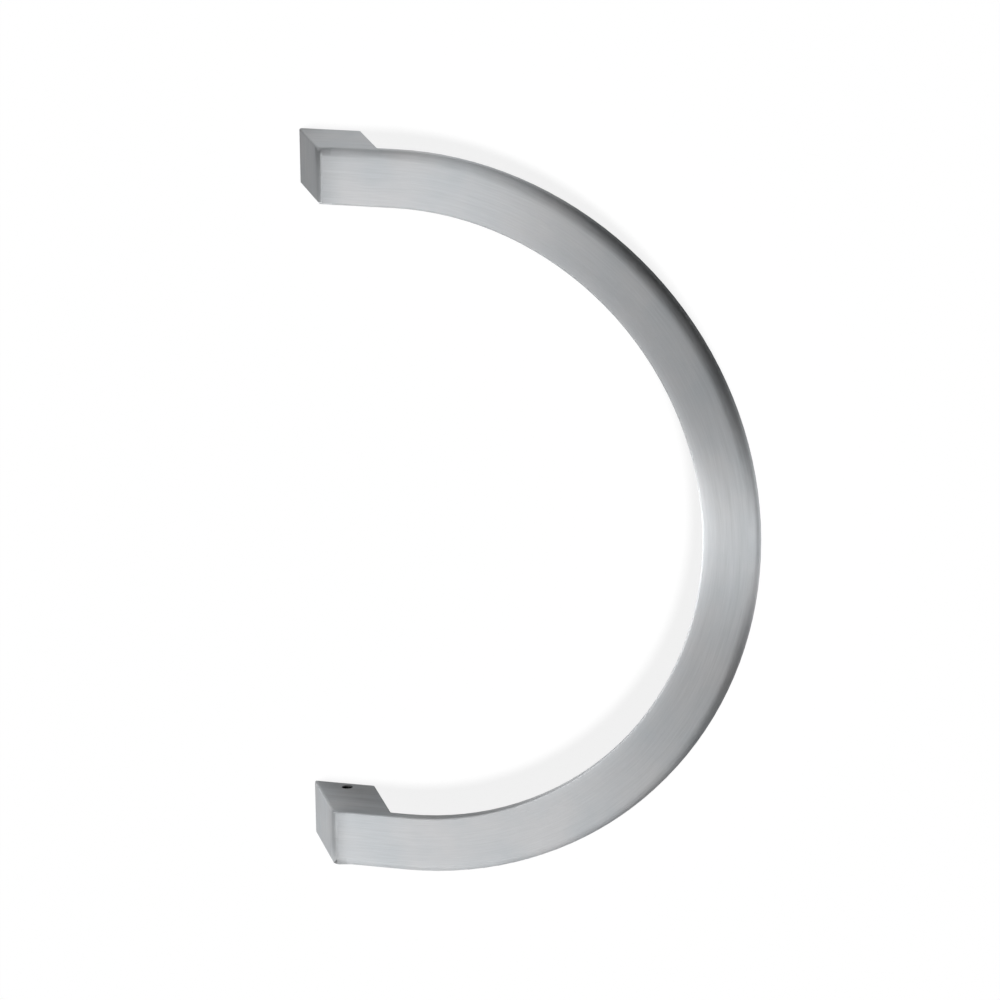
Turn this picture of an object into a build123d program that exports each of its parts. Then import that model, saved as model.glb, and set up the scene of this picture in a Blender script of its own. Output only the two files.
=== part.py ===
from build123d import *
import itertools
import math
import os

# Half-round pull handle: a flat bar, cut as a half ring with straight ends, on two slanted
# square legs. Each leg slides over a round spigot that is bolted to the door, and a grub
# screw in the leg's inner face locks it there.
# Millimetres. X runs from the legs towards the bow, Y from the bow to the door, Z up.
# The door's face is the plane Y = 0, and the origin lies midway between the two spigots.

# Bow
centres = 300.0
bar_width = 25.0
bar_thickness = 6.0
projection = 40.0
straight_past_leg = 5.1
outer_front_radius = 3.0
outer_front_fade = 5.0
other_edge_radius = 1.0

# Legs, as high as the bar is wide
leg_thickness = 25.0
leg_slant = 30.0
end_edge_radius = 4.0
inner_corner_radius = 1.5

# Spigots, each with a milled flat and a tapped hole for the bolt through the door
spigot_diameter = 14.0
spigot_length = 10.0
spigot_clearance = 0.1
spigot_flat_depth = 1.0
spigot_chamfer = 0.5
bolt_hole_diameter = 6.8

# Grub screws, with a hexagon socket
grub_diameter = 4.0
grub_clearance = 0.05
grub_recess = 1.5
grub_from_door = 5.0
grub_chamfer = 0.4
grub_hole_chamfer = 0.4
hex_across_flats = 2.0
hex_depth = 2.0

# Worked out from the sizes above
half_centres = centres / 2
lean = math.tan(math.radians(leg_slant))
leg_foot = leg_thickness / math.cos(math.radians(leg_slant))
outer_radius = half_centres + bar_width / 2
inner_radius = half_centres - bar_width / 2
leg_middle_at_door = -grub_from_door * lean
foot_left = leg_middle_at_door - leg_foot / 2
foot_right = leg_middle_at_door + leg_foot / 2
bar_end = foot_left + projection * lean
straight_run = leg_foot + straight_past_leg
bow_centre = bar_end + straight_run
end_rounding_stop = bar_end + end_edge_radius * math.tan(math.radians(45 - leg_slant / 2))
bar_back = projection - bar_thickness
flat_from_axis = spigot_diameter / 2 - spigot_flat_depth
grub_length = bar_width / 2 - flat_from_axis - grub_recess


def bow():
    """The flat bar: a half ring with a straight run at each end, in front of the door."""
    with BuildSketch(Plane.XZ.offset(bar_back)) as outline:
        with Locations((bow_centre, 0)):
            Circle(outer_radius)
            Circle(inner_radius, mode=Mode.SUBTRACT)
        with Locations((bow_centre, 0)):
            Rectangle(outer_radius, 2 * outer_radius, align=(Align.MAX, Align.CENTER), mode=Mode.SUBTRACT)
        for side in (1, -1):
            with Locations((bow_centre, side * half_centres)):
                Rectangle(straight_run, bar_width, align=(Align.MAX, Align.CENTER))
    return extrude(outline.sketch, amount=bar_thickness)


def leg(side):
    """One square leg, slanted sideways from the bow's end back to the door."""
    shift = projection * lean
    with BuildSketch(Plane.XY.offset(side * half_centres - bar_width / 2)) as outline:
        Polygon(
            (foot_left, 0),
            (foot_right, 0),
            (foot_right + shift, -projection),
            (foot_left + shift, -projection),
            align=None,
        )
    return extrude(outline.sketch, amount=bar_width)


def upright_edges(body, x, y):
    """The body's edges along Z that pass through one place in the XY plane."""
    upright = body.edges().filter_by(Axis.Z)
    return [edge for edge in upright if math.dist((edge.center().X, edge.center().Y), (x, y)) < 0.01]


def bow_edge(body, radius, y):
    """One round edge of the bow. Its rounding runs on along the bar's ends and the legs."""
    round_edges = body.edges().filter_by(GeomType.CIRCLE)
    at_depth = [edge for edge in round_edges if abs(edge.center().Y - y) < 0.01]
    return [edge for edge in at_depth if abs(edge.radius - radius) < 0.01]


def outer_front_waste(side, x, radius):
    """What a rounding takes off the bar's square outer front edge, as a section at one place."""
    edge = Plane(origin=(x, -projection, side * outer_radius), x_dir=(0, 1, 0), z_dir=(-side, 0, 0))
    with BuildSketch(edge) as waste:
        Rectangle(radius, radius, align=(Align.MIN, Align.MIN))
        with Locations((radius, radius)):
            Circle(radius, mode=Mode.SUBTRACT)
    return waste.sketch


def outer_front_cutter():
    """Rounds the bow's outer front edge more softly than the other edges.

    It runs round the half ring and along the straight runs, and fades to the other edges' radius
    before the bar's ends.
    """
    full_until = end_rounding_stop + outer_front_fade
    axis = Axis((bow_centre, 0, 0), (0, 1, 0))
    cutter = revolve(outer_front_waste(1, bow_centre, outer_front_radius), axis, revolution_arc=180)
    for side in (1, -1):
        full = outer_front_waste(side, full_until, outer_front_radius)
        faded = outer_front_waste(side, end_rounding_stop, other_edge_radius)
        cutter += extrude(full, amount=bow_centre - full_until, dir=(1, 0, 0))
        cutter += loft([full, faded], ruled=True)
    return cutter


def rounded_frame():
    """Bow and legs in one piece, with every edge rounded except those against the door."""
    body = bow() + leg(1) + leg(-1)
    inner_corner = foot_right + bar_back * lean
    body = fillet(upright_edges(body, bar_end, -projection), end_edge_radius)
    body = fillet(upright_edges(body, inner_corner, -bar_back), inner_corner_radius)
    for radius, y in itertools.product((outer_radius, inner_radius), (-projection, -bar_back)):
        body = fillet(bow_edge(body, radius, y), other_edge_radius)
    return body - outer_front_cutter()


def drill(x, y, z, direction, diameter, depth):
    """A round cutter that starts at a point and runs along a direction."""
    start = Plane(origin=(x, y, z), z_dir=direction)
    return start * Cylinder(diameter / 2, depth, align=(Align.CENTER, Align.CENTER, Align.MIN))


def mouth_cutter(x, y, z, direction, diameter, chamfer_size):
    """A cone that breaks the sharp edge of a hole's mouth."""
    start = Plane(origin=(x, y, z), z_dir=direction)
    align = (Align.CENTER, Align.CENTER, Align.MIN)
    return start * Cone(diameter / 2 + chamfer_size, diameter / 2, chamfer_size, align=align)


def handle_body():
    """The handle itself, with a blind socket and a grub-screw hole in each leg."""
    body = rounded_frame()
    socket_diameter = spigot_diameter + 2 * spigot_clearance
    grub_hole = grub_diameter + 2 * grub_clearance
    for side in (1, -1):
        middle = side * half_centres
        inner_face = middle - side * bar_width / 2
        outward = (0, 0, side)
        body -= drill(0, 0, middle, (0, -1, 0), socket_diameter, spigot_length)
        body -= drill(0, -grub_from_door, inner_face, outward, grub_hole, bar_width / 2)
        body -= mouth_cutter(0, -grub_from_door, inner_face, outward, grub_hole, grub_hole_chamfer)
    return body


def mounting_spigot(side):
    """A round spigot, tapped for the door's bolt, with a flat that faces the grub screw."""
    middle = side * half_centres
    spigot = drill(0, 0, middle, (0, -1, 0), spigot_diameter, spigot_length)
    inner_rim = spigot.edges().group_by(Axis.Y)[0]
    spigot = chamfer(inner_rim, spigot_chamfer)
    spigot -= drill(0, 0, middle, (0, -1, 0), bolt_hole_diameter, spigot_length)
    removed = Box(2 * spigot_diameter, 2 * spigot_length, spigot_diameter)
    away = middle - side * (flat_from_axis + spigot_diameter / 2)
    return spigot - Pos(0, -spigot_length / 2, away) * removed


def grub_screw(side):
    """A headless screw whose flat end presses on the spigot's flat."""
    tip = side * (half_centres - flat_from_axis)
    towards_opening = (0, 0, -side)
    screw = drill(0, -grub_from_door, tip, towards_opening, grub_diameter, grub_length)
    screw = chamfer(screw.edges().filter_by(GeomType.CIRCLE), grub_chamfer)
    head = tip - side * grub_length
    socket_plane = Plane(origin=(0, -grub_from_door, head), z_dir=(0, 0, side))
    with BuildSketch(socket_plane) as hexagon:
        RegularPolygon(hex_across_flats / 2, 6, major_radius=False)
    return screw - extrude(hexagon.sketch, amount=hex_depth)


def write(shape, node):
    """Writes one node's solid to its own STEP file."""
    export_step(shape, f"parts/{node}.step")


os.makedirs("parts", exist_ok=True)
write(handle_body(), "handle_body")
for name, side in (("upper", 1), ("lower", -1)):
    write(mounting_spigot(side), f"mounting_spigot_{name}")
    write(grub_screw(side), f"grub_screw_{name}")
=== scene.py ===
import math
from types import SimpleNamespace

import bpy
from mathutils import Matrix, Vector


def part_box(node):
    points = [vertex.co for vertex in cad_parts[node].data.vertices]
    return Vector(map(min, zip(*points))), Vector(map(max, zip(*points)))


# Half-round pull handle in brushed stainless steel, seen from the front right, a little from
# above, against a white door. Metres, in the part's own frame: X from the legs to the bow,
# Y into the door, Z up, with the door's face at Y = 0.

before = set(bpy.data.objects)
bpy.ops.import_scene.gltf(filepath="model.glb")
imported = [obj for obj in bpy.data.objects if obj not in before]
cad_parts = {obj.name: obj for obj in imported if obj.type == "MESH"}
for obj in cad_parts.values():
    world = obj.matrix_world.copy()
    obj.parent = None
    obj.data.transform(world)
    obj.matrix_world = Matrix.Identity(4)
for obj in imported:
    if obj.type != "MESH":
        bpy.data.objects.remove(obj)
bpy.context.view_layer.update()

# The handle's own sizes, read from its node or repeated from the part
handle_low, handle_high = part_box("handle_body")
BAR_WIDTH = 0.025
BAR_THICKNESS = 0.006
LEG_SLANT = math.radians(30.0)
OUTER_FRONT_RADIUS = 0.003
OTHER_EDGE_RADIUS = 0.001
GRUB_FROM_DOOR = 0.005
HALF_WIDTH = BAR_WIDTH / 2
OUTER_RADIUS = handle_high.z
MIDDLE_RADIUS = OUTER_RADIUS - HALF_WIDTH
SPIGOT_Z = MIDDLE_RADIUS
BOW_CENTRE_X = handle_high.x - OUTER_RADIUS
FRONT_Y = handle_low.y
BAR_BACK_Y = FRONT_Y + BAR_THICKNESS
BAR_END_X = handle_low.x - FRONT_Y * math.tan(LEG_SLANT)

# What counts as the bar's front edges, how near its ends it is shaded with the legs, and where,
# measured from those ends, the outer front edge grows from the other edges' rounding to its own
FRONT_DEPTH = 0.004
END_LENGTH = 0.006
ROUNDING_FADE = (-0.0012, 0.0023)

# How far in the light turns over the outer front edge, plainly and at its softest, and over the
# round end corners. The softest part lies between two pairs of angles (in degrees round the bow),
# each of which runs from plain to softest.
PLAIN_EDGE = 0.004
SOFT_EDGE = 0.0055
SOFT_EDGE_RISE = (0, 30)
SOFT_EDGE_FALL = (92, 68)
SOFT_CORNER = 0.0042

# A leg's worked-out normal is used where its cosine with the mesh's own is above this
SAME_FACE = 0.5

# Polishing leaves the faces a little crowned: how far their normals lean at the edges
OUTER_CROWN = 0.20
INNER_CROWN = 0.05
END_CROWN = 0.12
END_CROWN_LENGTH = 0.014
SIDE_CROWN = 0.20
SIDE_CROWN_LENGTH = 0.018

# The brush runs along the bar, and turns upright as a leg's normal leans this far along X
UPRIGHT_TURN = (0.08, 0.40)

# What counts as an edge, by how far the normal has turned from the faces beside it, and how much
# more that turn counts at the round end corners
EDGE_TURN = (0.03, 0.3)
END_CORNER_TURN = 1.6

# Stainless steel's colour drifts a little in patches, between these two, and its tone with it. The
# edges are smoother than the faces.
COOL_STEEL = (0.480, 0.500, 0.517, 1.0)
WARM_STEEL = (0.498, 0.503, 0.511, 1.0)
PATCHES_PER_METRE = 38.0
PATCH_TONE = 0.18
PATCH_HUE = (0.35, 0.65)
FACE_ROUGHNESS = 0.46
EDGE_ROUGHNESS = 0.42

# Brush streaks: length, width, noise detail, then the swing of tone and roughness, and the depth
STREAKS = {
    "broad": (0.040, 0.0024, 2.0, 0.32, 0.10, 2.0e-5),
    "middling": (0.016, 0.0007, 2.0, 0.22, 0.08, 1.2e-5),
    "fine": (0.007, 0.00015, 1.0, 0.14, 0.0, 4.0e-6),
}

# Wear that lightens the edges
WEAR_PER_METRE = 160.0
WEAR_TONE = 0.12

# Painted shade: how much darker the edges and the round corners at the bar's ends are painted,
# where they mirror dark surroundings. On the inner front edge that grows over the first pair of
# angles (in degrees round the bow), and falls to a share of itself over the second.
OUTER_EDGE_SHADE = 0.14
INNER_EDGE_SHADE = 0.65
INNER_SHADE_RISE = (4, 20)
INNER_SHADE_FALL = (30, 80)
INNER_SHADE_LEFT = 0.5
LEG_EDGE_SHADE = 0.10
CORNER_SHADE = 0.17
CORNER_SHADE_LENGTH = 0.0022
CORNER_SHADE_DEPTH = 0.006

# A painted highlight lightens the bow's inner edge, most where hands grip it: where to the right of
# the bow's centre that sets in, how far in it dies away and how bright it is, first in general and
# then where it is brightest
INNER_HIGHLIGHT_RISE = (0.05, 0.13)
INNER_HIGHLIGHT_DEPTH = 0.0021
INNER_HIGHLIGHT = 0.45
HIGHLIGHT_PEAK_ANGLE = math.radians(8)
HIGHLIGHT_PEAK_SPREAD = math.radians(12)
HIGHLIGHT_PEAK_DEPTH = 0.0033
HIGHLIGHT_PEAK = 0.70

# The drilled grub-screw holes are painted dark inside, as shade: their rim's radius, and how far from
# the legs' outer faces the painted shade sets in, which keeps it off those faces
HOLE_RIM = 0.00245
HOLE_RIM_BLUR = 0.0001
HOLE_SHADE = 0.3
HOLE_FROM_OUTSIDE = (0.002, 0.004)

# The spigots' turned steel and the grub screws' black oxide
TURNED_STEEL = (0.58, 0.58, 0.59)
TURNED_ROUGHNESS = 0.32
BLACK_OXIDE = (0.05, 0.05, 0.055)
OXIDE_ROUGHNESS = 0.48

# Their marks: lathe rings, grain and stains per metre, swings of tone and roughness, and depth
RINGS_PER_METRE = 3000.0
RING_DRIFT_PER_METRE = 2000.0
GRAIN_PER_METRE = 2500.0
STAINS_PER_METRE = 300.0
MARK_TONE = 0.35
MARK_ROUGHNESS = 0.15
STAIN_ROUGHNESS = 0.2
MARK_DEPTH = 6.0e-6

# Camera, matched to the photograph
CAMERA_AIM = Vector((0.0863, -0.040, 0.0111))
CAMERA_AZIMUTH = math.radians(18.49)
CAMERA_ELEVATION = math.radians(14.76)
CAMERA_ROLL = math.radians(-0.85)
CAMERA_DISTANCE = 2.387
CAMERA_LENS = 198.4
SENSOR_WIDTH = 36.0
VIEW_DEPTH = 20.0

# The door as the camera and the metal see it, the floor far below the handle, and the lamp that
# throws the handle's shadow on the door
WHITE = (1.0, 1.0, 1.0, 1.0)
ROOM_REACH = 2.5
FLOOR_Z = -1.0
DOOR_Y = 0.0004
SHADOW_DEPTH = 0.13
DOOR_LAMP_TOWARD = (0.43, -1.0, -0.035)
DOOR_LAMP_SPREAD = math.radians(7.0)

# Black flags on the door, which the metal alone mirrors, so that its edges stand out on white.
# How black each is, and where it fades in from its limits: by radius and angle (in degrees) round
# the bow, or by X and Z.
FLAG_REACH = 0.35
FLAG_BEFORE_DOOR = 0.0001
FLAG_RING = (0.140, 0.160)
FLAGS = {
    "over_arc": (0.85, {"radius": [FLAG_RING], "angle": [(5, 25), (88, 58)]}),
    "under_arc": (0.65, {"radius": [FLAG_RING], "angle": [(-10, -28), (-100, -60)]}),
    "by_upper_leg": (0.58, {"z": [(0.0, 0.05), (0.178, 0.163)], "x": [(-0.005, -0.015)]}),
    "over_lower_leg": (
        1.0, {"z": [(0.0, -0.05), (-0.16, -0.13)], "x": [(0.085, 0.05), (-0.027, -0.015)]},
    ),
}

# Soft lights of the studio: where each stands as seen from the handle, how tight, how bright
SOFT_LIGHTS = {
    "right": ((0.60, -0.75, -0.25), 60, 7.6),
    "below": ((-0.27, -0.66, -0.70), 20, 3.45),
    "above": ((-0.15, -0.69, 0.71), 25, 2.5),
    "left_below": ((-0.60, -0.60, -0.53), 20, 1.9),
    "high_left": ((-0.82, 0.12, 0.55), 20, 1.9),
    "left_above": ((-0.60, -0.78, 0.15), 20, 1.25),
    "low_left": ((-0.87, -0.12, -0.48), 25, 1.6),
    "right_below": ((0.30, -0.40, -0.87), 25, 0.35),
}

# Small soft boxes near the handle, which turn their light to the bow's right side
SOFT_BOX_RADIUS = 0.06
SOFT_BOX_AIM = Vector((0.19, -0.04, 0.0))
SOFT_BOXES = {
    "box_left": ((-0.35, -0.12, -0.12), 3.4),
    "box_front_left": ((-0.25, -0.30, -0.10), 3.5),
    "box_front": ((-0.15, -0.50, -0.12), 5.2),
}


class Nodes:
    """A short way to add and link shader nodes."""

    def __init__(self, tree):
        self.tree = tree
        tree.nodes.clear()

    def add(self, kind, **settings):
        node = self.tree.nodes.new(kind)
        for name, value in settings.items():
            setattr(node, name, value)
        return node

    def put(self, socket, value):
        """Links a socket to another node's output, or sets its value."""
        if isinstance(value, bpy.types.NodeSocket):
            self.tree.links.new(value, socket)
        elif value is not None:
            socket.default_value = value

    def fill(self, node, values):
        """Puts a value into each of a node's sockets that the values name or number."""
        for key, value in values.items():
            self.put(node.inputs[key], value)
        return node

    def math(self, operation, a, b=None):
        node = self.add("ShaderNodeMath", operation=operation)
        return self.fill(node, {0: a, 1: b}).outputs[0]

    def minus(self, a, b):
        return self.math("SUBTRACT", a, b)

    def rest(self, share):
        """What a share leaves of 1."""
        return self.minus(1.0, share)

    def square(self, value):
        return self.math("MULTIPLY", value, value)

    def absolute(self, value):
        return self.math("ABSOLUTE", value)

    def above(self, value, limit):
        """1 where the value is above the limit, 0 elsewhere."""
        return self.math("GREATER_THAN", value, limit)

    def below(self, value, limit):
        return self.math("LESS_THAN", value, limit)

    def at_least(self, value, limit):
        return self.math("MAXIMUM", value, limit)

    def at_most(self, value, limit):
        return self.math("MINIMUM", value, limit)

    def most_of(self, *values):
        """The highest of several values."""
        highest = values[0]
        for value in values[1:]:
            highest = self.at_least(highest, value)
        return highest

    def all_of(self, *shares):
        """The product of several shares."""
        whole = shares[0]
        for share in shares[1:]:
            whole = self.math("MULTIPLY", whole, share)
        return whole

    def sum_of(self, *parts):
        whole = parts[0]
        for part in parts[1:]:
            whole = self.math("ADD", whole, part)
        return whole

    def fade(self, distance, reach):
        """1 at no distance, dying away past the reach."""
        return self.math("EXPONENT", self.math("DIVIDE", self.all_of(distance, -1.0), reach))

    def bell(self, value):
        """1 at zero, falling away on both sides."""
        return self.fade(self.square(value), 1.0)

    def span(self, value, start, end):
        """0 up to the start, rising to 1 at the end."""
        node = self.add("ShaderNodeMapRange")
        return self.fill(node, {"Value": value, "From Min": start, "From Max": end}).outputs[0]

    def arc(self, angle, start, end):
        """A span over an angle, with its start and end in degrees."""
        return self.span(angle, math.radians(start), math.radians(end))

    def scale(self, value, low, high):
        """Maps a value from 0..1 to low..high."""
        node = self.add("ShaderNodeMapRange")
        return self.fill(node, {"Value": value, "To Min": low, "To Max": high}).outputs[0]

    def about_zero(self, value, swing):
        """A noise around 0, whose highest and lowest lie a swing apart."""
        return self.scale(value, -swing / 2, swing / 2)

    def vector(self, operation, a, b=None):
        node = self.add("ShaderNodeVectorMath", operation=operation)
        return self.fill(node, {0: a, 1: b}).outputs[0]

    def unit(self, vector):
        return self.vector("NORMALIZE", vector)

    def measured(self, operation, a, b=None):
        """A number that a vector operation gives."""
        node = self.add("ShaderNodeVectorMath", operation=operation)
        return self.fill(node, {0: a, 1: b}).outputs["Value"]

    def length(self, a):
        return self.measured("LENGTH", a)

    def dot(self, a, b):
        return self.measured("DOT_PRODUCT", a, b)

    def times(self, vector, factor):
        node = self.add("ShaderNodeVectorMath", operation="SCALE")
        return self.fill(node, {0: vector, "Scale": factor}).outputs[0]

    def join(self, x, y, z):
        return self.fill(self.add("ShaderNodeCombineXYZ"), {0: x, 1: y, 2: z}).outputs[0]

    def split(self, vector):
        return self.fill(self.add("ShaderNodeSeparateXYZ"), {0: vector}).outputs

    def pick(self, factor, a, b):
        """Number a where the factor is 0, number b where it is 1."""
        node = self.add("ShaderNodeMix", data_type="FLOAT")
        return self.fill(node, {0: factor, 2: a, 3: b}).outputs[0]

    def choose(self, factor, a, b):
        """Vector a where the factor is 0, vector b where it is 1."""
        node = self.add("ShaderNodeMix", data_type="VECTOR")
        return self.fill(node, {0: factor, 4: a, 5: b}).outputs[1]

    def blend(self, factor, a, b):
        """Colour a where the factor is 0, colour b where it is 1."""
        node = self.add("ShaderNodeMix", data_type="RGBA")
        return self.fill(node, {0: factor, 6: a, 7: b}).outputs[2]

    def noise(self, vector, scale, detail):
        node = self.add("ShaderNodeTexNoise")
        return self.fill(node, {"Vector": vector, "Scale": scale, "Detail": detail}).outputs["Fac"]

    def streaks(self, place, length, width, detail):
        """Noise drawn out along the first axis."""
        stretched = self.vector("MULTIPLY", place, (1 / length, 1 / width, 1 / width))
        return self.noise(stretched, 1.0, detail)

    def bump(self, height, normal=None):
        """The normal that a height in metres gives."""
        node = self.add("ShaderNodeBump")
        return self.fill(node, {"Distance": 1.0, "Height": height, "Normal": normal}).outputs["Normal"]

    def shader_mix(self, factor, a, b):
        return self.fill(self.add("ShaderNodeMixShader"), {0: factor, 1: a, 2: b}).outputs[0]

    def clear(self):
        return self.add("ShaderNodeBsdfTransparent").outputs[0]

    def surface(self, shader, output="ShaderNodeOutputMaterial"):
        """Makes a shader the surface that the tree's output shows."""
        self.fill(self.add(output), {"Surface": shader})


def new_material(name):
    material = bpy.data.materials.new(name)
    material.use_nodes = True
    return material, Nodes(material.node_tree)


def locate(n):
    """Where a spot lies: its place in space, and along, across and round the bar."""
    geometry = n.add("ShaderNodeNewGeometry")
    at = SimpleNamespace(position=geometry.outputs["Position"], normal=geometry.outputs["Normal"])
    at.x, at.y, at.z = n.split(at.position)
    at.from_centre = n.minus(at.x, BOW_CENTRE_X)
    at.angle = n.math("ARCTAN2", at.z, at.from_centre)
    at.in_ring = n.above(at.from_centre, 0.0)
    radial = n.join(at.from_centre, 0.0, at.z)
    up_or_down = n.join(0.0, 0.0, n.math("SIGN", at.z))
    at.outward = n.choose(at.in_ring, up_or_down, n.unit(radial))
    at.radius = n.pick(at.in_ring, n.absolute(at.z), n.length(radial))
    at.off_axis = n.minus(at.radius, MIDDLE_RADIUS)
    at.front_edge = n.below(at.y, FRONT_Y + FRONT_DEPTH)
    on_straight = n.all_of(n.above(at.x, BAR_END_X + END_LENGTH), at.front_edge)
    at.on_bar = n.at_least(at.in_ring, on_straight)
    at.before_back = n.below(at.y, BAR_BACK_Y)
    return at


def shape_bar(n, at):
    """The bar's true normal: away from the core of its section, whose edges are rounded."""
    past_corner = n.span(at.x, BAR_END_X + ROUNDING_FADE[0], BAR_END_X + ROUNDING_FADE[1])
    at.front_outer = n.all_of(n.above(at.off_axis, 0.0), at.front_edge, past_corner)
    at.rounding = n.pick(at.front_outer, OTHER_EDGE_RADIUS, OUTER_FRONT_RADIUS)
    softest = n.all_of(n.arc(at.angle, *SOFT_EDGE_RISE), n.arc(at.angle, *SOFT_EDGE_FALL))
    soft_edge = n.scale(softest, PLAIN_EDGE, SOFT_EDGE)
    softening = n.pick(at.front_outer, OTHER_EDGE_RADIUS, soft_edge)
    core_outer = n.at_most(at.off_axis, n.minus(HALF_WIDTH, softening))
    core_across = n.at_least(core_outer, OTHER_EDGE_RADIUS - HALF_WIDTH)
    core_front = n.at_least(at.y, n.math("ADD", at.rounding, FRONT_Y))
    core_deep = n.at_most(core_front, BAR_BACK_Y - OTHER_EDGE_RADIUS)
    flatter = n.pick(at.front_outer, 1.0, n.square(n.math("DIVIDE", OUTER_FRONT_RADIUS, soft_edge)))
    at.sideways = n.times(at.outward, n.all_of(n.minus(at.off_axis, core_across), flatter))
    at.bar_normal = n.unit(n.vector("ADD", at.sideways, n.join(0.0, n.minus(at.y, core_deep), 0.0)))


def shape_legs(n, at):
    """The legs' true normal: the bar's front turns the round corner into the slanted faces."""
    slanted = Vector((-math.cos(LEG_SLANT), -math.sin(LEG_SLANT), 0.0))
    core_x = BAR_END_X + SOFT_CORNER * math.tan(math.radians(45.0) - LEG_SLANT / 2)
    from_core = n.join(n.minus(at.x, core_x), n.minus(at.y, FRONT_Y + SOFT_CORNER), 0.0)
    past_slant = n.dot(from_core, slanted)
    past_front = n.dot(from_core, (0.0, -1.0, 0.0))
    slant_share = n.minus(past_slant, n.all_of(past_front, math.sin(LEG_SLANT)))
    front_share = n.minus(past_front, n.all_of(past_slant, math.sin(LEG_SLANT)))
    to_slant = n.times(slanted, n.at_least(slant_share, 0.0))
    to_front = n.join(0.0, n.all_of(n.at_least(front_share, 0.0), -1.0), 0.0)
    around_corner = n.unit(n.vector("ADD", to_slant, to_front))
    turned = n.span(n.absolute(at.off_axis), n.minus(HALF_WIDTH, at.rounding), HALF_WIDTH)
    unturned = n.math("SQRT", n.rest(n.square(turned)))
    forwards = n.times(around_corner, n.all_of(unturned, at.rounding))
    rounded = n.unit(n.vector("ADD", at.sideways, forwards))
    same_face = n.above(n.dot(rounded, at.normal), SAME_FACE)
    at.leg_normal = n.choose(same_face, at.normal, rounded)
    leg_x, _, at.leg_z = n.split(at.leg_normal)
    at.leg_lean = n.absolute(leg_x)


def lay_brush(n, at):
    """The brush's direction: round the half ring, along its straight ends, upright on the legs."""
    at.upright = n.all_of(n.span(at.leg_lean, *UPRIGHT_TURN), n.rest(at.in_ring))
    around = n.join(n.all_of(at.z, -1.0), 0.0, at.from_centre)
    along = n.choose(at.in_ring, (1.0, 0.0, 0.0), around)
    at.brush = n.unit(n.choose(at.upright, along, (0.0, 0.0, 1.0)))


def find_edges(n, at):
    """How far a spot lies on a rounded edge: 0 on the faces, 1 in a rounding's middle."""
    bar_turn = n.all_of(n.dot(at.bar_normal, at.outward), n.split(at.bar_normal)[1])
    leg_turn = n.all_of(at.leg_z, n.math("SQRT", n.rest(n.square(at.leg_z))))
    end_turn = n.all_of(at.leg_lean, n.minus(math.cos(LEG_SLANT), at.leg_lean), END_CORNER_TURN)
    turn = n.pick(at.on_bar, n.at_least(n.absolute(leg_turn), end_turn), n.absolute(bar_turn))
    at.edge = n.span(turn, *EDGE_TURN)


def crown_faces(n, at):
    """The shaded normal, which leans a little towards the edges of the faces."""
    across = n.all_of(at.off_axis, 1 / HALF_WIDTH)
    outer_lean = n.all_of(n.square(n.at_least(across, 0.0)), OUTER_CROWN)
    inner_lean = n.all_of(n.square(n.at_most(across, 0.0)), INNER_CROWN)
    lean = n.all_of(n.minus(outer_lean, inner_lean), at.before_back)
    end_share = n.span(at.x, BAR_END_X + END_CROWN_LENGTH, BAR_END_X)
    end_lean = n.all_of(n.square(end_share), -END_CROWN)
    side_share = n.span(at.y, FRONT_Y + SIDE_CROWN_LENGTH, FRONT_Y)
    side_lean = n.all_of(n.square(side_share), at.upright, -SIDE_CROWN)
    tilt = n.vector("ADD", n.times(at.outward, lean), n.join(end_lean, side_lean, 0.0))
    plain = n.choose(at.on_bar, at.leg_normal, at.bar_normal)
    return n.unit(n.vector("ADD", plain, tilt))


def brush_place(n, at):
    """A spot's place along the brush strokes and across them, in metres."""
    ring_run = n.all_of(n.minus(math.pi / 2, at.angle), MIDDLE_RADIUS)
    lower_run = n.minus(math.pi * MIDDLE_RADIUS, at.from_centre)
    straight_run = n.pick(n.above(at.z, 0.0), lower_run, at.from_centre)
    run = n.pick(at.in_ring, straight_run, ring_run)
    return n.choose(at.upright, n.join(run, at.radius, at.y), n.join(at.z, at.y, at.x))


def painted_inner_highlight(n, at):
    """How much lighter the bow's inner edge is painted, as a highlight."""
    from_inner = n.math("ADD", at.off_axis, HALF_WIDTH)
    peak_share = n.bell(n.math("DIVIDE", n.minus(at.angle, HIGHLIGHT_PEAK_ANGLE), HIGHLIGHT_PEAK_SPREAD))
    shine = n.scale(peak_share, INNER_HIGHLIGHT, HIGHLIGHT_PEAK)
    near_edge = n.fade(from_inner, n.scale(peak_share, INNER_HIGHLIGHT_DEPTH, HIGHLIGHT_PEAK_DEPTH))
    return n.all_of(near_edge, n.span(at.from_centre, *INNER_HIGHLIGHT_RISE), at.before_back, shine)


def painted_edge_shade(n, at):
    """Painted shade on the edges and the round end corners, as tones to add."""
    front_inner = n.all_of(
        n.below(at.off_axis, 0.0), at.front_edge, at.on_bar, n.arc(at.angle, *INNER_SHADE_RISE),
        n.scale(n.arc(at.angle, *INNER_SHADE_FALL), 1.0, INNER_SHADE_LEFT),
    )
    near_corner = n.all_of(
        n.fade(n.at_least(n.minus(at.x, BAR_END_X), 0.0), CORNER_SHADE_LENGTH),
        n.bell(n.math("DIVIDE", n.minus(at.y, FRONT_Y), CORNER_SHADE_DEPTH)),
        n.rest(n.absolute(at.leg_z)),
    )
    return (
        n.all_of(at.edge, at.front_outer, -OUTER_EDGE_SHADE),
        n.all_of(at.edge, front_inner, -INNER_EDGE_SHADE),
        n.all_of(near_corner, -CORNER_SHADE),
        n.all_of(at.edge, n.rest(at.on_bar), -LEG_EDGE_SHADE),
    )


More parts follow.
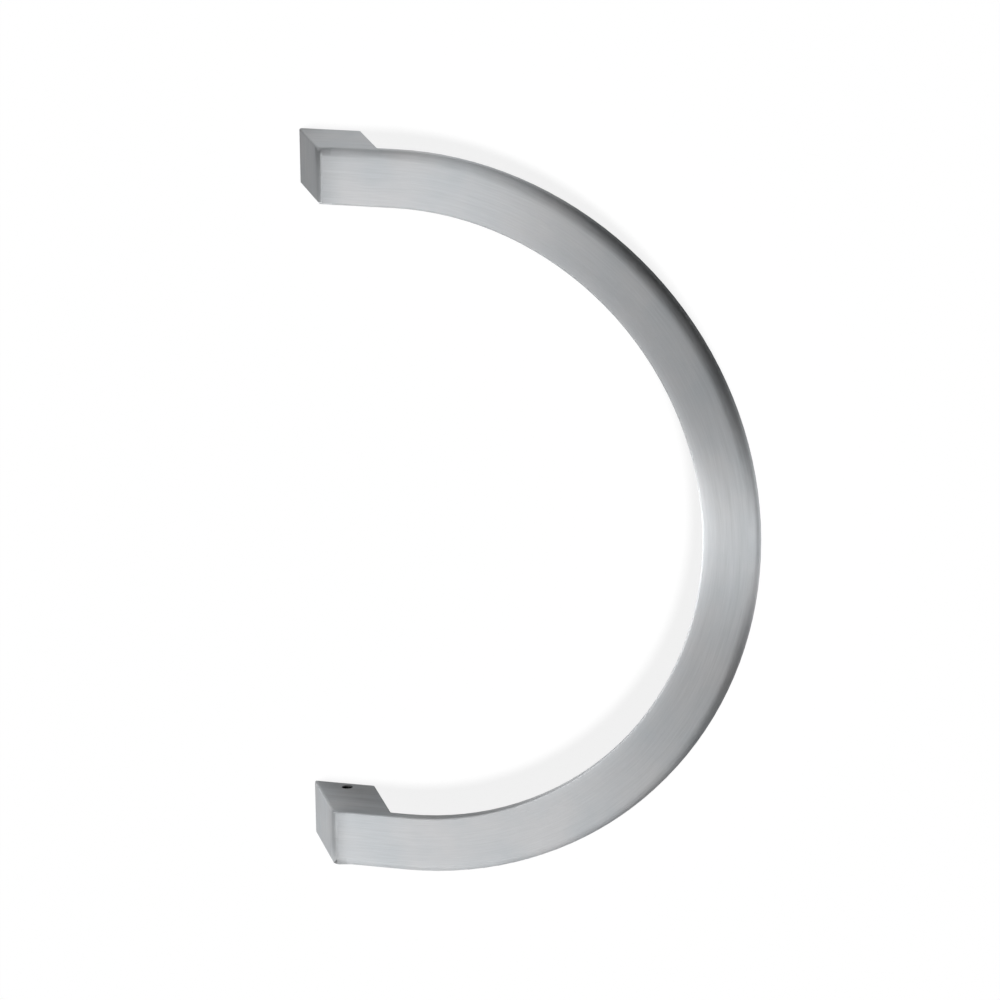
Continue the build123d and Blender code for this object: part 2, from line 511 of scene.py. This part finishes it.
def painted_hole_shade(n, at):
    """1 on the handle's surface, darker in the drilled grub-screw holes: painted shade."""
    off_hole = n.length(n.join(at.x, n.math("ADD", at.y, GRUB_FROM_DOOR), 0.0))
    inside = n.span(off_hole, HOLE_RIM + HOLE_RIM_BLUR, HOLE_RIM)
    start, full = (OUTER_RADIUS - depth for depth in HOLE_FROM_OUTSIDE)
    return n.pick(n.all_of(inside, n.span(n.absolute(at.z), start, full)), 1.0, HOLE_SHADE)


def brushed_steel():
    """Satin stainless steel, brushed along the bar and up and down the legs' slanted sides."""
    material, n = new_material("brushed_steel")
    at = locate(n)
    shape_bar(n, at)
    shape_legs(n, at)
    lay_brush(n, at)
    find_edges(n, at)
    place = brush_place(n, at)

    patches = n.noise(at.position, PATCHES_PER_METRE, detail=3.0)
    wear = n.all_of(at.edge, n.noise(place, WEAR_PER_METRE, detail=3.0), WEAR_TONE)
    # Tones: random patches, edge wear, the painted highlight on the bow's inner edge, painted edge
    # shade
    tones = [1.0, n.about_zero(patches, PATCH_TONE), wear, painted_inner_highlight(n, at), *painted_edge_shade(n, at)]
    roughnesses = [n.pick(at.edge, FACE_ROUGHNESS, EDGE_ROUGHNESS)]
    heights = []
    for length, width, detail, tone_swing, roughness_swing, depth in STREAKS.values():
        strokes = n.streaks(place, length, width, detail)
        tones.append(n.about_zero(strokes, tone_swing))
        roughnesses.append(n.about_zero(strokes, roughness_swing))
        heights.append(n.all_of(strokes, depth))

    # Painted shade darkens the inside of the grub-screw holes
    tone = n.all_of(n.sum_of(*tones), painted_hole_shade(n, at))
    hue = n.blend(n.span(patches, *PATCH_HUE), COOL_STEEL, WARM_STEEL)
    shader = n.fill(n.add("ShaderNodeBsdfPrincipled"), {
        "Base Color": n.times(hue, tone),
        "Metallic": 1.0,
        "Roughness": n.sum_of(*roughnesses),
        "Anisotropic": 1.0,
        "Anisotropic Rotation": 0.25,
        "Tangent": at.brush,
        "Normal": n.bump(n.sum_of(*heights), crown_faces(n, at)),
    })
    n.surface(shader.outputs[0])
    return material


def lathe_rings(n, position):
    """Fine rings round the spigots' axes."""
    x, y, z = n.split(position)
    from_axis = n.length(n.join(x, 0.0, n.minus(n.absolute(z), SPIGOT_Z)))
    turns = n.join(n.all_of(from_axis, RINGS_PER_METRE), n.all_of(y, RING_DRIFT_PER_METRE), 0.0)
    return n.noise(turns, 1.0, detail=2.0)


def fine_grain(n, position):
    """An even grain."""
    return n.noise(position, GRAIN_PER_METRE, detail=2.0)


def worked_metal(name, colour, roughness, draw_marks):
    """Metal of the small pieces, with stains and the marks of how it was worked."""
    material, n = new_material(name)
    position = n.add("ShaderNodeNewGeometry").outputs["Position"]
    marks = draw_marks(n, position)
    stains = n.noise(position, STAINS_PER_METRE, detail=4.0)
    tone = n.sum_of(1.0, n.about_zero(marks, MARK_TONE), n.about_zero(stains, MARK_TONE))
    uneven = n.sum_of(n.about_zero(marks, MARK_ROUGHNESS), n.about_zero(stains, STAIN_ROUGHNESS))
    shader = n.fill(n.add("ShaderNodeBsdfPrincipled"), {
        "Base Color": n.times(colour, tone),
        "Metallic": 1.0,
        "Roughness": n.math("ADD", uneven, roughness),
        "Normal": n.bump(n.all_of(marks, MARK_DEPTH)),
    })
    n.surface(shader.outputs[0])
    return material


def turned_steel():
    """The spigots' bright steel, turned on a lathe."""
    return worked_metal("turned_steel", TURNED_STEEL, TURNED_ROUGHNESS, lathe_rings)


def black_oxide():
    """The grub screws' black finish."""
    return worked_metal("black_oxide", BLACK_OXIDE, OXIDE_ROUGHNESS, fine_grain)


def dress(node, material):
    """Gives a CAD node its material."""
    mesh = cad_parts[node].data
    mesh.materials.clear()
    mesh.materials.append(material)


def stage_sheet(name, corners):
    """A flat piece of the studio, which throws no shadow and lights no matt surface."""
    mesh = bpy.data.meshes.new(name)
    mesh.from_pydata(corners, [], [(0, 1, 2, 3)])
    piece = bpy.data.objects.new(name, mesh)
    bpy.context.scene.collection.objects.link(piece)
    material, n = new_material(name)
    mesh.materials.append(material)
    piece.visible_diffuse = False
    piece.visible_shadow = False
    return piece, n


def facing_camera(y, reach):
    """The corners of an upright square that faces away from the door."""
    return [(-reach, y, -reach), (reach, y, -reach), (reach, y, reach), (-reach, y, reach)]


def white_card(name, corners, glow):
    """A white card, clear from behind: it glows, and the lamp's light adds the paper's share."""
    piece, n = stage_sheet(name, corners)
    paper = (SHADOW_DEPTH, SHADOW_DEPTH, SHADOW_DEPTH, 1.0)
    light = n.fill(n.add("ShaderNodeEmission"), {"Color": WHITE, "Strength": glow})
    matt = n.fill(n.add("ShaderNodeBsdfDiffuse"), {"Color": paper})
    both = n.fill(n.add("ShaderNodeAddShader"), {0: light.outputs[0], 1: matt.outputs[0]})
    behind = n.add("ShaderNodeNewGeometry").outputs["Backfacing"]
    n.surface(n.shader_mix(behind, both.outputs[0], n.clear()))
    return piece


def add_room():
    """The door's white face, which takes the handle's shadow, and the floor far below it."""
    reach = ROOM_REACH
    white_card("door_face", facing_camera(DOOR_Y, reach), 1.0 - SHADOW_DEPTH)
    ground = [(-reach, -reach), (reach, -reach), (reach, reach), (-reach, reach)]
    floor = white_card("floor", [(x, y, FLOOR_Z) for x, y in ground], 1.0)
    floor.visible_glossy = False


def add_flags():
    """Soft-edged black flags, all on one clear sheet just in front of the door."""
    flags, n = stage_sheet("flags", facing_camera(DOOR_Y - FLAG_BEFORE_DOOR, FLAG_REACH))
    flags.visible_camera = False
    x, _, z = n.split(n.add("ShaderNodeNewGeometry").outputs["Position"])
    from_centre = n.minus(x, BOW_CENTRE_X)
    radius = n.length(n.join(from_centre, 0.0, z))
    angle = n.math("DEGREES", n.math("ARCTAN2", z, from_centre))
    measures = {"x": x, "z": z, "radius": radius, "angle": angle}
    shares = []
    for blackness, limits in FLAGS.values():
        fades = [n.span(measures[name], *pair) for name, pairs in limits.items() for pair in pairs]
        shares.append(n.all_of(*fades, blackness))
    black = n.fill(n.add("ShaderNodeEmission"), {"Strength": 0.0})
    n.surface(n.shader_mix(n.most_of(*shares), n.clear(), black.outputs[0]))


def add_camera():
    """A long lens at the photograph's viewing angle."""
    to_camera = Vector((
        math.cos(CAMERA_ELEVATION) * math.sin(CAMERA_AZIMUTH),
        -math.cos(CAMERA_ELEVATION) * math.cos(CAMERA_AZIMUTH),
        math.sin(CAMERA_ELEVATION),
    ))
    data = bpy.data.cameras.new("camera")
    data.lens = CAMERA_LENS
    data.sensor_width = SENSOR_WIDTH
    data.clip_end = VIEW_DEPTH
    camera = bpy.data.objects.new("camera", data)
    place = Matrix.Translation(CAMERA_AIM + to_camera * CAMERA_DISTANCE)
    turn = to_camera.to_track_quat("Z", "Y").to_matrix().to_4x4()
    camera.matrix_world = place @ turn @ Matrix.Rotation(CAMERA_ROLL, 4, "Z")
    bpy.context.scene.collection.objects.link(camera)
    bpy.context.scene.camera = camera


def add_lamp(name, kind, energy, place, back):
    """A lamp with its back turned to one direction, which shines the other way."""
    data = bpy.data.lights.new(name, kind)
    data.energy = energy
    lamp = bpy.data.objects.new(name, data)
    lamp.location = place
    lamp.rotation_euler = back.to_track_quat("Z", "Y").to_euler()
    bpy.context.scene.collection.objects.link(lamp)
    return lamp


def add_door_lamp():
    """The lamp whose light the door shows: a colour there renders as it is written."""
    toward = Vector(DOOR_LAMP_TOWARD).normalized()
    lamp = add_lamp("door_lamp", "SUN", math.pi / -toward.y, toward, toward)
    lamp.data.angle = DOOR_LAMP_SPREAD
    lamp.visible_glossy = False


def add_soft_boxes():
    """Round soft boxes that only the metal shows, each as bright as its number says."""
    for name, (place, brightness) in SOFT_BOXES.items():
        energy = brightness * math.pi * math.pi * SOFT_BOX_RADIUS ** 2
        lamp = add_lamp(name, "AREA", energy, place, Vector(place) - SOFT_BOX_AIM)
        lamp.data.shape = "DISK"
        lamp.data.size = 2 * SOFT_BOX_RADIUS
        lamp.visible_camera = False
        lamp.visible_diffuse = False


def add_world():
    """White all round for the camera, and far soft lights for the metal."""
    world = bpy.data.worlds.new("studio")
    world.use_nodes = True
    world.cycles_visibility.diffuse = False
    bpy.context.scene.world = world
    n = Nodes(world.node_tree)
    way = n.add("ShaderNodeTexCoord").outputs["Generated"]
    glows = []
    for toward, tightness, brightness in SOFT_LIGHTS.values():
        facing = n.at_least(n.dot(way, Vector(toward).normalized()), 0.0)
        glows.append(n.all_of(n.math("POWER", facing, tightness), brightness))
    lights = n.fill(n.add("ShaderNodeBackground"), {"Color": WHITE, "Strength": n.sum_of(*glows)})
    white = n.fill(n.add("ShaderNodeBackground"), {"Color": WHITE, "Strength": 1.0})
    is_camera = n.add("ShaderNodeLightPath").outputs["Is Camera Ray"]
    both = n.shader_mix(is_camera, lights.outputs[0], white.outputs[0])
    n.surface(both, "ShaderNodeOutputWorld")


dress("handle_body", brushed_steel())
spigot_metal = turned_steel()
screw_metal = black_oxide()
for end in ("upper", "lower"):
    dress(f"mounting_spigot_{end}", spigot_metal)
    dress(f"grub_screw_{end}", screw_metal)

add_room()
add_flags()
add_camera()
add_world()
add_door_lamp()
add_soft_boxes()
bpy.context.scene.view_settings.view_transform = "Standard"
